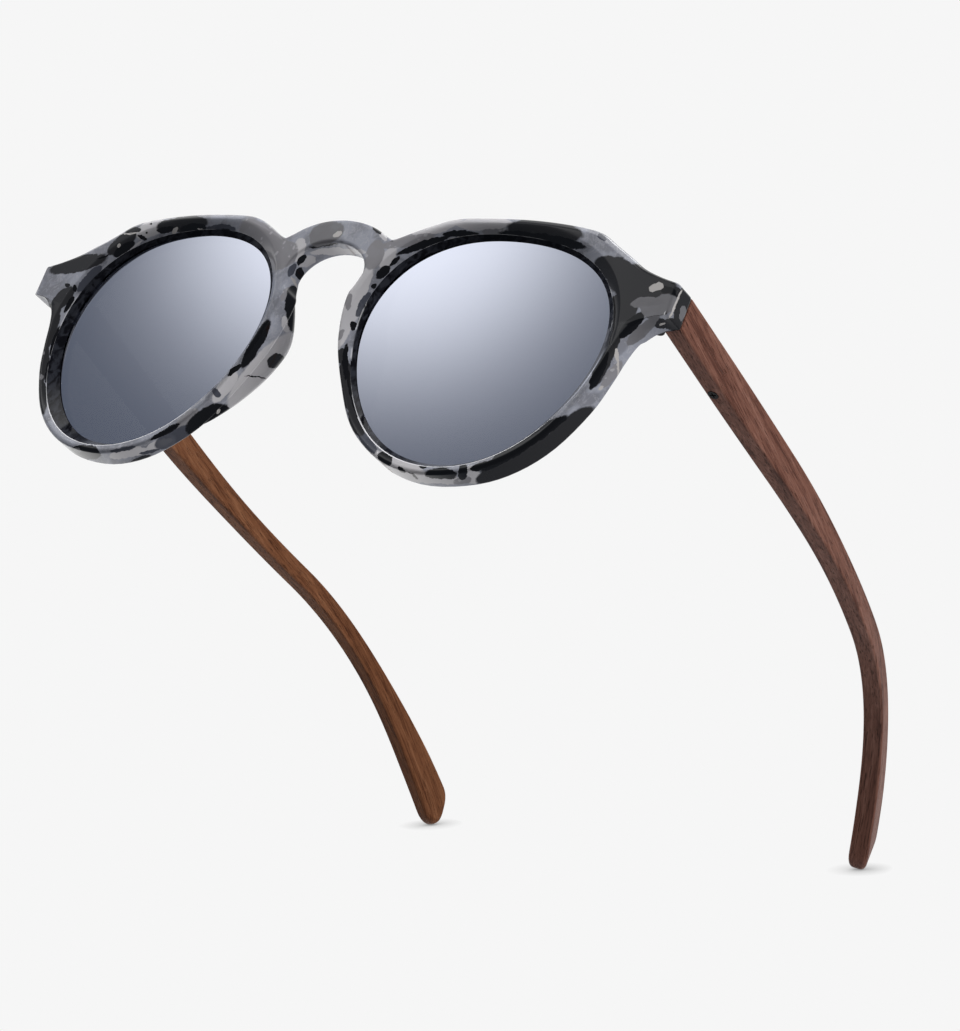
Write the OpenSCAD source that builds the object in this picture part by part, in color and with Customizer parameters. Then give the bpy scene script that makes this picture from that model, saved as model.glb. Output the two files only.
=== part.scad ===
// Wooden-armed sunglasses: a marbled moulded front with a keyhole bridge, two mirrored
// lenses held in grooves, and two wooden arms that fold on sunk spring hinges.
// Millimetres. The front faces -Y, the arms run back along +Y, +Z is up, and the rims
// and the arm tips rest on Z = 0.

/* [Lenses] */
// Mean width of a lens opening
lens_d = 47.6; // [44:0.2:52]
// How much wider than tall the opening is
lens_oval = 1.1; // [0:0.1:2]
// How far the opening narrows towards its foot
lens_taper = 1; // [0:0.1:2]
// Distance between the two lens centres
lens_pitch = 73.8; // [70:0.2:82]
// Thickness of a lens
lens_t = 1.8; // [1.2:0.1:2]
// Radius of the lens's domed faces
lens_dome = 262; // [180:2:520]

/* [Front] */
// Thickness of the front
front_t = 5; // [4.8:0.1:6.5]
// Angle by which each half of the front wraps back
wrap = 4.4; // [0:0.2:8]
// How far the lens sits behind the front's face
recess = 2.4; // [2:0.1:3]
// Width of the band under the lens
rim_w = 2.9; // [2.5:0.1:4.5]
// Half width of the keyhole under the bridge
key_w = 8.9; // [7.5:0.1:9.2]
// Depth of the bridge from its crown to the keyhole
bridge_h = 4.8; // [3:0.1:6]
// Distance from the middle to the outer side of an end piece
end_x = 73.6; // [72:0.1:78]
// Height of an end piece
end_h = 6.3; // [6:0.1:7.5]
// Bevel on the outer front corner of an end piece
end_bevel = 0.6; // [0.4:0.1:1.5]

/* [Nose pads] */
// How far a nose pad stands out behind the rim
pad_depth = 5.6; // [2.5:0.1:6.5]
// Radius of a nose pad's rounded edge
pad_r = 1.5; // [1.2:0.1:1.8]

/* [Arms] */
// Length of an arm, measured straight back
arm_l = 138.4; // [120:0.2:150]
// Thickness of an arm
arm_t = 3.9; // [3.7:0.1:5]
// Height of an arm at its hinge
arm_h = 6.3; // [6:0.1:7.5]
// Height of an arm at its slimmest
arm_slim = 3.9; // [3.4:0.1:6]
// Height of an arm at its tip
arm_tip = 6.9; // [4:0.1:8]
// Angle by which the arms slope down from the front
pitch = 8.7; // [5:0.1:12]
// How far an arm's end drops behind the ear
ear_drop = 21; // [8:0.1:26]
// How far an arm's end curls towards the head
ear_curl = 23; // [10:0.5:26]

/* [Hinges] */
// Radius of the hinge knuckles
knuckle_r = 1.5; // [1.4:0.05:1.6]
// Radius of the hinge screw
pin_r = 0.7; // [0.5:0.05:0.8]
// How far the hinge's housing and its tail reach into the arm
tongue_l = 20.5; // [19:0.5:30]
// How far the spring lets the arm draw back
spring_travel = 1.2; // [0.4:0.1:1.6]
// Turns of the spring
spring_turns = 5; // [3:1:6]
// Radius of the tongue screw's head
screw_head_r = 1; // [0.9:0.05:1.2]

/* [Hidden] */
$fn = 48;
// clearance of pieces set into each other
fit = 0.04;
// play of the turning knuckle on its screw
play = 0.05;

// Lens shape: mean radius with oval, taper and squareness, leaning a little to the nose.
// Angles are measured at the lens centre, from the arm's side upwards.
lens_k = lens_d / 47.6;
function lens_r(a) = lens_d / 2 + lens_oval * cos(2 * a) - 0.2 * sin(2 * a)
  + lens_taper * sin(3 * a) - 0.15 * cos(4 * a) + 0.1 * sin(5 * a);
function lens_loop(grow, n) = [for (i = [0:n - 1]) let (a = 360 * i / n)
  (lens_r(a) + grow) * [cos(a), sin(a)]];
lens_top = lens_r(90);
eye_x = lens_pitch / 2;
groove_d = 0.8;

// Smooth curve through a list of points, in n steps between each two
function knot(p, q, r, s, t) = (2 * q + (r - p) * t + (2 * p - 5 * q + 4 * r - s) * t * t
  + (3 * q - p - 3 * r + s) * t * t * t) / 2;
function curve(P, n) = [for (i = [0:len(P) - 2]) for (k = [0:n - 1])
  knot(P[max(i - 1, 0)], P[i], P[i + 1], P[min(i + 2, len(P) - 1)], k / n)];

// Right half of the front's outline, from the bridge's crown over the brow to the end
// piece, then round the rim to the keyhole
crown_z = 22.8;
crown = [for (a = [0:6:48]) [14 * sin(a), crown_z - 8.1 + 8.1 * cos(a)]];
brow = [for (p = [[-24.7, -2.4], [-22.5, -1.6], [-18.5, 0.4], [-15, 1.9], [-11.5, 2.7],
  [-6, 3.1], [1, 3.3], [7, 3.1], [13, 2.5], [17.6, 1.5], [21.2, -0.6], [25.2, -2.8],
  [29, -4.8], [33, -6.2]]) [eye_x + p[0] * lens_k, lens_top + p[1]]];
end_z = 11.4;
end_top = [end_x, end_z + end_h / 2];
end_foot = [end_x, end_z - end_h / 2];
heel = [[end_x - 2.6, end_z - end_h / 2 - 0.5]];
band = [for (p = [[11.5, 4.4], [8, 2.2], [2, 1], [-7, 0.6], [-20, 0.7], [-38, 0.8], [-54, 0.6],
  [-70, 0.2], [-90, 0], [-108, -0.1], [-125, -0.3], [-140, -0.3], [-158, -0.5],
  [-172, 0.1], [-182, 0.7], [-190, 1.4], [-195, 1.8]])
  (lens_r(p[0]) + rim_w + p[1]) * [cos(p[0]), sin(p[0])] + [eye_x, 0]];
key_z = crown_z - bridge_h - 6;
arch = [for (a = [84:-6:0]) [key_w * sin(a), key_z + 6 * cos(a)]];
half = concat(crown, curve(concat([crown[8]], brow, [end_top]), 3), [end_top, end_foot],
  curve(concat([end_foot], heel, band, [[key_w - 0.7, key_z - 2.6], [key_w, key_z]]), 3), arch);
outline = concat(half, [for (i = [len(half) - 2:-1:1]) [-half[i][0], half[i][1]]]);

// Plan of the front: flat wings, with a round bend at the bridge
bend_r = 105;
bend_y = bend_r / cos(wrap) - recess / cos(wrap);
function plan_side(d, dir) = concat(
  [[-dir * 90, 90 * tan(wrap) + (d - recess) / cos(wrap)]],
  [for (k = [-4:4]) let (a = dir * wrap * k / 4) [(bend_r - d) * sin(a), bend_y - (bend_r - d) * cos(a)]],
  [[dir * 90, 90 * tan(wrap) + (d - recess) / cos(wrap)]]);
front_back = front_t - recess;
joint_gap = 0.12;

// Arm: a path that slopes down, then drops and curls behind the ear
arm_x = end_x - 0.1;
arm_y = (arm_x - arm_t / 2) * tan(wrap) + (front_back + joint_gap) / cos(wrap);
ear_u = 0.643;
function over(u, from) = max(u - from, 0) / (1 - from);
function arm_pt(u) = [arm_x - arm_t / 2 + 3.7 * u - ear_curl * pow(over(u, 0.3), 2),
  arm_y + arm_l * u,
  end_z - arm_l * u * tan(pitch) - ear_drop * pow(over(u, ear_u), 2)];
function unit(v) = v / norm(v);
function arm_dir(u) = unit(arm_pt(u + 0.002) - arm_pt(u - 0.002));
heights = [arm_h, arm_h, 0.7 * arm_h + 0.3 * arm_slim, 0.12 * arm_h + 0.88 * arm_slim, arm_slim,
  arm_slim + 0.1, arm_tip];
function arm_height(u) = let (v = min(max(u, 0), 0.9999) * 6, i = floor(v))
  knot(heights[max(i - 1, 0)], heights[i], heights[i + 1], heights[min(i + 2, 6)], v - i);
// round end: the section shrinks along the last stretch
tip_u = 1 - 3 / arm_l;
// the end is cut on a slant, longest at its foot
tip_slant = 2.4;
function tip_f(u) = u <= tip_u ? 1 : sqrt(max(1 - pow((u - tip_u) / (1 - tip_u), 2), 0));
edge_r = 0.9;
function ring(u) = let (t = arm_dir(u), s = unit([t[1], -t[0], 0]), h = cross(s, t), f = tip_f(u),
  a = max(arm_t / 2 * (0.5 + 0.5 * f), 0.3), b = max(arm_height(u) / 2 * f, 0.25), r = min(edge_r, 0.6 * b))
  [for (q = [0:3]) for (k = [0, 45, 90]) let (w = 90 * q + k,
    sx = (q == 0 || q == 3) ? 1 : -1, sh = q < 2 ? 1 : -1)
    let (y = sh * (b - r) + r * sin(w), slant = tip_slant * pow(over(u, 0.92), 2) * 2 * y / arm_height(u))
    arm_pt(u) + s * (sx * (a - r) + r * cos(w)) + h * y - t * slant];
stations = concat([for (i = [-1:20]) i * 0.03], [for (i = [1:14]) 0.6 + (tip_u - 0.6) * i / 14],
  [for (q = [0.35, 0.62, 0.82, 0.94, 0.995]) tip_u + (1 - tip_u) * q]);
rings = [for (u = stations) ring(u)];

// The glasses lean until the rims and the arm tips meet one level
function turned_z(p, a) = p[1] * sin(a) + p[2] * cos(a);
function turned_y(p, a) = p[1] * cos(a) - p[2] * sin(a);
function face_y(x) = abs(x) < bend_r * sin(wrap)
  ? bend_y - sqrt(pow(bend_r, 2) - x * x) : abs(x) * tan(wrap) - recess / cos(wrap);
front_pts = [for (p = half) [p[0], face_y(p[0]), p[1]]];
arm_pts = [for (r = rings) for (p = r) p];
function rest_gap(a) = min([for (p = front_pts) turned_z(p, a)]) - min([for (p = arm_pts) turned_z(p, a)]);
function rest(a, n) = n == 0 ? a : rest(a + atan(rest_gap(a) / arm_l), n - 1);
lean = rest(0, 6);
seat_z = -min([for (p = front_pts) turned_z(p, lean)]);
seat_y = -(min([for (p = front_pts) turned_y(p, lean)]) + max([for (p = arm_pts) turned_y(p, lean)])) / 2;
module seated() { translate([0, seat_y, seat_z]) rotate([lean, 0, 0]) children(); }
module both(side) { if (side > 0) children(); else mirror([1, 0, 0]) children(); }
module wing() { rotate([0, 0, wrap]) translate([eye_x / cos(wrap), 0, 0]) children(); }

// Hinge: the screw stands beside the arm's inner face, square to the arm
pin_x = arm_x - arm_t - knuckle_r - 0.2;
pin_back = knuckle_r + 0.25;
pin_y = pin_x * tan(wrap) + front_back / cos(wrap) + pin_back;
pin_z = end_z - (pin_y - arm_y) * tan(pitch);
hinge_h = 5.4;
mid_h = 2.2;
// the plate lies this far behind the screw's middle, with a post that runs deeper
plate_in = -2.6;
plate_out = 1.3;
plate_t = 1.2;
post_l = 2.9;
post_r = 1.2;
screw_cap_r = 1.15;
screw_cap_t = 0.69;
tongue_t = 1.9;
tongue_h = 3;
// the spring housing lies in the middle of the arm's thickness, its tail behind it
tongue_x = knuckle_r + 0.2 + arm_t / 2;
web_l = 1.2;
house_t = 2.5;
house_h = 3.5;
house_front = web_l + 0.3;
house_wall = 1.1;
house_end = 11;
stem_r = 0.6;
bore_r = 1.05;
coil_r = 0.8;
wire_r = 0.12;
coil_from = house_front + house_wall + 0.1;
nut_from = 8.2;
nut_t = 1;
nut_r = bore_r - 0.1;
tongue_end = tongue_l - knuckle_r;
screw_l = tongue_end - 2.4;
screw_r = 0.6;
head_t = 0.9;
arm_foot = arm_h / 2 - 0.05;
module hinged() { translate([pin_x, pin_y, pin_z]) rotate([-pitch, 0, 0]) children(); }
module block(lo, hi) { translate(lo) cube(hi - lo); }
module rod(r, lo, hi) { translate([0, 0, lo]) cylinder(r = r, h = hi - lo); }

// Sunk part of the hinge plate, and the pocket for it when grown
module plate_root(g) {
  block([plate_in - g, -pin_back - plate_t - g, -hinge_h / 2 - g],
    [plate_out + g, -pin_back + g, hinge_h / 2 + g]);
  block([plate_in + 1 - g, -pin_back - post_l - g, -post_r - g],
    [plate_out - 0.9 + g, -pin_back, post_r + g]);
}
// Spring housing with its tail, from the given start, and the slot for it when grown
module house_body(from, g) {
  block([tongue_x - house_t / 2 - g, from, -house_h / 2 - g],
    [tongue_x + house_t / 2 + g, house_end + g, house_h / 2 + g]);
  block([tongue_x - tongue_t / 2 - g, house_end - 1, -tongue_h / 2 - g],
    [tongue_x + tongue_t / 2 + g, tongue_end + g, tongue_h / 2 + g]);
}
// Round bar along the arm, in the middle of the housing
module bar(r, from, to) { translate([tongue_x, from, 0]) rotate([-90, 0, 0]) cylinder(r = r, h = to - from); }

module front_frame() {
  color("#5d5c63") seated() difference() {
    intersection() {
      rotate([90, 0, 0]) linear_extrude(80, center = true) polygon(outline);
      linear_extrude(120, center = true) polygon(concat(plan_side(0, 1), plan_side(front_t, -1)));
    }
    for (side = [1, -1]) both(side) {
      wing() rotate([90, 0, 0]) linear_extrude(60, center = true) polygon(lens_loop(0, 72));
      wing() translate([0, lens_t + 0.35, 0]) rotate([90, 0, 0])
        linear_extrude(lens_t + 0.65) polygon(lens_loop(groove_d, 72));
      hinged() {
        plate_root(fit);
        block([plate_in - fit, -pin_back - 0.5, -hinge_h / 2 - fit], [knuckle_r + 0.1, 0, hinge_h / 2 + fit]);
      }
      translate([end_x, face_y(end_x), 0]) rotate([0, 0, 45])
        cube([end_bevel * sqrt(2), end_bevel * sqrt(2), 120], center = true);
    }
  }
}

module lens(side) {
  color("#a9aebd") seated() both(side) wing() intersection() {
    translate([0, 8, 0]) rotate([90, 0, 0]) linear_extrude(16) polygon(lens_loop(groove_d - 0.1, 72));
    translate([0, lens_dome - 1.12, 0]) difference() {
      sphere(lens_dome, $fn = 400);
      sphere(lens_dome - lens_t, $fn = 400);
    }
  }
}
module lens_left() { lens(1); }
module lens_right() { lens(-1); }

// Nose pad: a rounded ridge on the back of the rim, deepest at its middle
module nose_pad(side) {
  foot = front_back / cos(wrap);
  color("#77757b") seated() both(side) difference() {
    hull() for (p = [[164, 0.2, 0.5], [174, 0.8, 1.1], [187, 1.2, 1], [203, 1, 0.55], [215, 0.4, 0.1]]) {
      r = lens_r(p[0]) + 1.5 - p[1];
      y = 0.3 * eye_x * tan(wrap) + foot + (pad_depth - pad_r) * p[2];
      translate([eye_x + r * cos(p[0]), y, r * sin(p[0])]) sphere(pad_r, $fn = 20);
    }
    rotate([0, 0, wrap]) translate([-60, front_back - 40, -60]) cube([120, 40, 120]);
  }
}
module nose_pad_left() { nose_pad(1); }
module nose_pad_right() { nose_pad(-1); }

module temple(side) {
  n = len(rings[0]);
  m = len(rings);
  color("#7a4c3c") seated() both(side) difference() {
    polyhedron(points = arm_pts, convexity = 6, faces = concat(
      [[for (k = [n - 1:-1:0]) k]],
      [[for (k = [0:n - 1]) (m - 1) * n + k]],
      [for (i = [0:m - 2]) for (k = [0:n - 1]) [i * n + k, i * n + (k + 1) % n, i * n + n + k]],
      [for (i = [0:m - 2]) for (k = [0:n - 1])
        [i * n + (k + 1) % n, i * n + n + (k + 1) % n, i * n + n + k]]));
    rotate([0, 0, wrap]) translate([0, front_back + joint_gap - 40, -60]) cube([120, 40, 120]);
    hinged() {
      house_body(-5, fit);
      block([0, -5, -mid_h / 2 - fit], [tongue_x, web_l + 0.1, mid_h / 2 + fit]);
      translate([tongue_x, screw_l, 0]) {
        rod(screw_r + fit, -6, tongue_h / 2);
        rod(screw_head_r + fit, -6, -arm_foot + head_t);
      }
    }
  }
}
module temple_left() { temple(1); }
module temple_right() { temple(-1); }

module hinge_plate(side) {
  color("#2b2b2d") seated() both(side) hinged() difference() {
    union() {
      plate_root(0);
      for (s = [0, 1]) mirror([0, 0, s]) {
        rod(knuckle_r, mid_h / 2, hinge_h / 2);
        block([-knuckle_r, -pin_back - 0.1, mid_h / 2], [0, 0, hinge_h / 2]);
      }
    }
    rod(pin_r + 0.01, -hinge_h, hinge_h);
    rod(screw_cap_r + 0.01, hinge_h / 2 - screw_cap_t - 0.01, hinge_h);
  }
}
module hinge_plate_left() { hinge_plate(1); }
module hinge_plate_right() { hinge_plate(-1); }

// Core: the middle knuckle and the stem that the spring draws into the housing
module hinge_core(side) {
  color("#47474b") seated() both(side) hinged() difference() {
    union() {
      rod(knuckle_r, -mid_h / 2 + play, mid_h / 2 - play);
      block([0, -web_l, -mid_h / 2 + play], [tongue_x + 0.9, web_l, mid_h / 2 - play]);
      bar(stem_r, 0, nut_from + nut_t);
    }
    rod(pin_r + play, -hinge_h, hinge_h);
  }
}
module hinge_core_left() { hinge_core(1); }
module hinge_core_right() { hinge_core(-1); }

module core_nut(side) {
  color("#8d8d92") seated() both(side) hinged() difference() {
    bar(nut_r, nut_from, nut_from + nut_t);
    bar(stem_r + 0.01, nut_from - 1, nut_from + nut_t + 1);
  }
}
module core_nut_left() { core_nut(1); }
module core_nut_right() { core_nut(-1); }

// Spring: one coiled wire between the housing's mouth and the nut
coil_l = nut_from - coil_from - 2 * wire_r - 0.1;
coil_steps = 12 * spring_turns;
coil_pts = [for (i = [0:coil_steps]) for (k = [0:5])
  let (a = 360 * spring_turns * i / coil_steps, w = 60 * k, r = coil_r + wire_r * cos(w))
  [tongue_x + r * cos(a), coil_from + wire_r + coil_l * i / coil_steps + wire_r * sin(w), r * sin(a)]];
echo(str("gap between the spring's turns: ", coil_l / spring_turns - 2 * wire_r));
module hinge_spring(side) {
  color("#b9b9bd") seated() both(side) hinged() polyhedron(points = coil_pts, faces = concat(
    [[for (k = [0:5]) k]],
    [[for (k = [5:-1:0]) coil_steps * 6 + k]],
    [for (i = [0:coil_steps - 1]) for (k = [0:5]) [i * 6 + k, i * 6 + 6 + k, i * 6 + (k + 1) % 6]],
    [for (i = [0:coil_steps - 1]) for (k = [0:5])
      [i * 6 + (k + 1) % 6, i * 6 + 6 + k, i * 6 + 6 + (k + 1) % 6]]));
}
module hinge_spring_left() { hinge_spring(1); }
module hinge_spring_right() { hinge_spring(-1); }

// Housing: a bored block with a window through which the nut is fitted
module hinge_housing(side) {
  color("#333336") seated() both(side) hinged() difference() {
    house_body(house_front, 0);
    bar(stem_r + play, 0, house_end);
    bar(bore_r, house_front + house_wall, house_end - 0.5);
    block([0, nut_from - spring_travel - 0.6, -bore_r], [tongue_x, house_end - 0.5, bore_r]);
    translate([tongue_x, screw_l, 0]) rod(screw_r + 0.01, -5, 5);
  }
}
module hinge_housing_left() { hinge_housing(1); }
module hinge_housing_right() { hinge_housing(-1); }

module hinge_screw(side) {
  color("#3a3a3d") seated() both(side) hinged() difference() {
    union() {
      rod(pin_r, -hinge_h / 2, hinge_h / 2 - 0.6);
      rod(screw_cap_r, hinge_h / 2 - screw_cap_t, hinge_h / 2);
    }
    block([-2, -0.15, hinge_h / 2 - 0.35], [2, 0.15, hinge_h]);
  }
}
module hinge_screw_left() { hinge_screw(1); }
module hinge_screw_right() { hinge_screw(-1); }

module tongue_screw(side) {
  color("#1c1c1e") seated() both(side) hinged() translate([tongue_x, screw_l, 0]) difference() {
    union() {
      rod(screw_r, -arm_foot + 0.2, tongue_h / 2 - 0.1);
      rod(screw_head_r, -arm_foot - 0.15, -arm_foot + head_t - fit);
    }
    for (a = [0, 90]) rotate([0, 0, a]) block([-0.6, -0.13, -arm_foot - 1], [0.6, 0.13, -arm_foot + 0.35]);
  }
}
module tongue_screw_left() { tongue_screw(1); }
module tongue_screw_right() { tongue_screw(-1); }

front_frame();
lens_left();
lens_right();
nose_pad_left();
nose_pad_right();
temple_left();
temple_right();
hinge_plate_left();
hinge_plate_right();
hinge_core_left();
core_nut_left();
hinge_spring_left();
hinge_housing_left();
hinge_core_right();
core_nut_right();
hinge_spring_right();
hinge_housing_right();
hinge_screw_left();
hinge_screw_right();
tongue_screw_left();
tongue_screw_right();
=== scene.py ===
"""Sunglasses with a marbled front, mirrored lenses and wooden arms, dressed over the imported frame."""
from math import atan2, cos, degrees, hypot, pi, radians, sin, sqrt, tan

import bmesh
import bpy
from mathutils import Matrix, Vector


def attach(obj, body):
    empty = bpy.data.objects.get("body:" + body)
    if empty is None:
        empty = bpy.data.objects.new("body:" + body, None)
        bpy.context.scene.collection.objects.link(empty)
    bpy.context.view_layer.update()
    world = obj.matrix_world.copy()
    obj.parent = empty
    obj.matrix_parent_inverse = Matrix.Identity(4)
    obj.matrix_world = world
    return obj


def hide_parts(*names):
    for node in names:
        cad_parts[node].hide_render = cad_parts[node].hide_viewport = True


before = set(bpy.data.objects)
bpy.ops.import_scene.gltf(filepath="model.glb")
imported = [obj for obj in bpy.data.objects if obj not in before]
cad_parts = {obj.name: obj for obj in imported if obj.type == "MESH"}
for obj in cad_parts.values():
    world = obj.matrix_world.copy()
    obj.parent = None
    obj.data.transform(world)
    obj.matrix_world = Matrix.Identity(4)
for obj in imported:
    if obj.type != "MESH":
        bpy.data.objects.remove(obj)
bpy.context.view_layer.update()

# Sizes in millimetres, in the wearer's frame: x to the wearer's left, y from the front to the ears, z up
LENS_R = 23.8
LENS_THICK = 1.8
LENS_DOME = 400
LENS_SAG = LENS_R ** 2 / (2 * LENS_DOME)
EYE_X = 36.9
WRAP = radians(4.4)
RECESS = 2.4
FRONT_THICK = 5.0
FRONT_BACK = FRONT_THICK - RECESS
RIM_W = 2.98
GROOVE = 0.8
END_X, END_Z, END_H = 73.6, 11.4, 6.3
CROWN_Z, CROWN_W, CROWN_DROP = 22.8, 14, 8.1
KEY_W, KEY_Z, KEY_RISE = 8.9, 12.0, 6.0
BEND_R = 105
ARM_L, ARM_T, ARM_H, ARM_SLIM, ARM_TIP = 138.4, 3.9, 6.3, 3.9, 6.9
ARM_SPLAY = 3.7
PITCH = radians(8.7)
# how far the arm drops and curls in behind the ear, and from which share of its length
EAR_DROP, DROP_FROM = 21, 0.643
EAR_CURL, CURL_FROM = 23, 0.3
ARM_INSET, JOINT_GAP = 0.1, 0.12
ARM_X = END_X - ARM_INSET
ARM_Y = (ARM_X - ARM_T / 2) * tan(WRAP) + (FRONT_BACK + JOINT_GAP) / cos(WRAP)
# the hinge screw stands between the arm and the nose, behind the front
KNUCKLE_R, KNUCKLE_GAP, PLATE_GAP = 1.5, 0.2, 0.25
PIN_X = ARM_X - ARM_T - KNUCKLE_GAP - KNUCKLE_R
PIN_Y = PIN_X * tan(WRAP) + FRONT_BACK / cos(WRAP) + KNUCKLE_R + PLATE_GAP
PIN_Z = END_Z - (PIN_Y - ARM_Y) * tan(PITCH)
HINGE = Matrix.Translation((PIN_X, PIN_Y, PIN_Z)) @ Matrix.Rotation(-PITCH, 4, "X")

# How the glasses stand on the floor: leant a little, then set down, in metres
LEAN = radians(2.50224)
LEANT = Matrix.Rotation(LEAN, 3, "X")
SEAT_Y, SEAT_Z = -72.5915, 26.306
MM = 0.001
SEAT = Matrix.Scale(MM, 4) @ Matrix.Translation((0, SEAT_Y, SEAT_Z)) @ LEANT.to_4x4()
SIDES = {"left": 1, "right": -1}


def lens_r(a):
    """Radius of the lens opening at an angle from the arm's side upwards."""
    return (LENS_R + 1.1 * cos(2 * a) - 0.2 * sin(2 * a) + sin(3 * a)
            - 0.15 * cos(4 * a) + 0.1 * sin(5 * a))


def knot(p, q, r, s, t):
    """One point of a smooth curve between q and r."""
    return (2 * q + (r - p) * t + (2 * p - 5 * q + 4 * r - s) * t * t
            + (3 * q - p - 3 * r + s) * t ** 3) / 2


def spline(points, steps):
    """A smooth curve through the points, in a number of steps between each two."""
    last = len(points) - 1
    path = [knot(points[max(i - 1, 0)], points[i], points[i + 1], points[min(i + 2, last)], k / steps)
            for i in range(last) for k in range(steps)]
    return path + [points[-1]]


def face_y(x):
    """Where the front's face lies: flat wings with a round bend at the bridge."""
    if abs(x) < BEND_R * sin(WRAP):
        return (BEND_R - RECESS) / cos(WRAP) - sqrt(BEND_R ** 2 - x * x)
    return abs(x) * tan(WRAP) - RECESS / cos(WRAP)


def whole(bm):
    """All the parts of a mesh."""
    return list(bm.verts) + list(bm.edges) + list(bm.faces)


def edges_between(bm, loop, closed):
    """The edges that join each vertex of a loop to the next."""
    ends = loop[1:] + loop[:1] if closed else loop[1:]
    return [bm.edges.get(pair) for pair in zip(loop, ends)]


def pull(bm, loop, places, closed=True):
    """Extrude a loop of edges and set the new vertices down at their places."""
    old = set(bm.verts)
    bmesh.ops.extrude_edge_only(bm, edges=edges_between(bm, loop, closed))
    new = [next(e.other_vert(v) for e in v.link_edges if e.other_vert(v) not in old) for v in loop]
    for vert, place in zip(new, places):
        vert.co = place
    return new


def first_loop(bm, places):
    """A closed loop of edges through the places."""
    loop = bmesh.ops.create_circle(bm, segments=len(places), radius=1)["verts"]
    for vert, place in zip(loop, places):
        vert.co = place
    return loop


def close_ends(bm):
    """Close the open ends of a tube."""
    bmesh.ops.holes_fill(bm, edges=[e for e in bm.edges if e.is_boundary], sides=0)


def round_off(bm, edges, radius, segments, held=True):
    """Round edges off; held keeps the rounding within short edges and slides it along the edges inside."""
    bmesh.ops.bevel(bm, geom=edges, offset=radius, offset_type="OFFSET", affect="EDGES",
                    segments=segments, profile=0.5, material=-1, clamp_overlap=held, loop_slide=held)


def add_object(name, data):
    """A new object in the scene."""
    made = bpy.data.objects.new(name, data)
    bpy.context.scene.collection.objects.link(made)
    return made


def add_mesh(name, bm):
    """A new object with a copy of a mesh."""
    mesh = bpy.data.meshes.new(name)
    bm.to_mesh(mesh)
    return add_object(name, mesh)


def finish_piece(bm, name, body, materials, nodes, side=1, weighted=True):
    """Turn a mesh in millimetres into a piece of the glasses, on its body, in place of its nodes."""
    if side < 0:
        bmesh.ops.scale(bm, vec=(-1, 1, 1), verts=bm.verts)
    bmesh.ops.transform(bm, matrix=SEAT, verts=bm.verts)
    bmesh.ops.recalc_face_normals(bm, faces=bm.faces)
    for face in bm.faces:
        face.smooth = True
    piece = add_mesh(name, bm)
    bm.free()
    for material in materials:
        piece.data.materials.append(material)
    if weighted:
        shade = piece.modifiers.new("even_shading", "WEIGHTED_NORMAL")
        shade.keep_sharp = True
    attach(piece, body)
    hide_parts(*nodes)
    return piece


def carve(bm, tool):
    """Cut the shape of a closed tool out of a closed mesh."""
    parts = []
    for name, source in (("carved", bm), ("cutter", tool)):
        bmesh.ops.recalc_face_normals(source, faces=source.faces)
        parts.append(add_mesh(name, source))
    cut = parts[0].modifiers.new("cut", "BOOLEAN")
    cut.object, cut.operation, cut.solver = parts[1], "DIFFERENCE", "EXACT"
    shaped = parts[0].evaluated_get(bpy.context.evaluated_depsgraph_get()).to_mesh()
    bm.clear()
    bm.from_mesh(shaped)
    for part in parts:
        bpy.data.meshes.remove(part.data)
    tool.free()


def block(low, high):
    """A box between two corners, measured from the middle of the hinge screw."""
    low, high = Vector(low), Vector(high)
    tool = bmesh.new()
    bmesh.ops.create_cube(tool, size=1, matrix=HINGE @ Matrix.Translation((low + high) / 2)
                          @ Matrix.Diagonal((*(high - low), 1)))
    return tool


def rod(radius, foot, length):
    """An upright round bar, its foot measured from the middle of the hinge screw."""
    tool = bmesh.new()
    bmesh.ops.create_cone(tool, cap_ends=True, segments=32, radius1=radius, radius2=radius, depth=length,
                          matrix=HINGE @ Matrix.Translation(Vector(foot) + Vector((0, 0, length / 2))))
    return tool


# The front

# along the brow: sideways from the lens's middle, and up from its top
BROW = [(-24.7, -2.4), (-22.5, -1.6), (-18.5, 0.4), (-15, 1.9), (-11.5, 2.7), (-6, 3.1), (1, 3.3),
        (7, 3.1), (13, 2.5), (17.6, 1.5), (21.2, -0.6), (25.2, -2.8), (29, -4.8), (33, -6.2)]
# round the rest of the rim: angle in degrees, and how much wider the rim is there
BAND = [(11.5, 4.4), (8, 2.2), (2, 1), (-7, 0.6), (-20, 0.7), (-38, 0.8), (-54, 0.6), (-70, 0.2),
        (-90, 0), (-108, -0.1), (-125, -0.3), (-140, -0.3), (-158, -0.5), (-172, 0.1), (-182, 0.7),
        (-190, 1.4), (-195, 1.8)]
# where the spokes of the end piece's underside and the bridge's root meet the opening, in degrees
HEEL_SPOKES = (10.5, 8.5, 6.2, 1.5)
ROOT_SPOKES = (-203.2, -217.9)
SPAN = 4
ROOT_ROWS = 6
BRIDGE_COLUMNS = 16
CROWN_END, CROWN_STEP = 48, 6
HEEL_IN, HEEL_DOWN = 2.6, 0.5
KEY_FLARE, KEY_FALL = 0.7, 2.6
# the brow's shape comes in between these angles on the arm's side and on the nose's side
BROW_ARM_SIDE, BROW_NOSE_SIDE = (26, 42), (138, 124)
BROW_RAISE = 0.6
# low beside the nose the face's outer edge lies back, round this angle
NOSE_SIDE, NOSE_FOCUS = radians(218), 4
# the face rolls in towards the lens as far as a crease, and a sloping wall goes from there to the lens
ROLL_OUT, ROLL_STEPS, ROLL_CURVE = 2.1, 7, 1.25
LIP = RECESS - 0.2
# along the brow the face falls back towards its outer edge: distances from the edge, and shares of the fall
SHOULDER = ((1.4, 0.0), (1.12, 0.12), (0.9, 0.3))
SHOULDER_DROP = 0.75
EDGE_ROUND, BACK_ROUND, CREASE_ROUND = 0.6, 0.4, 0.2
EDGE_STEPS, BACK_STEPS, CREASE_STEPS = 5, 3, 2
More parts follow.
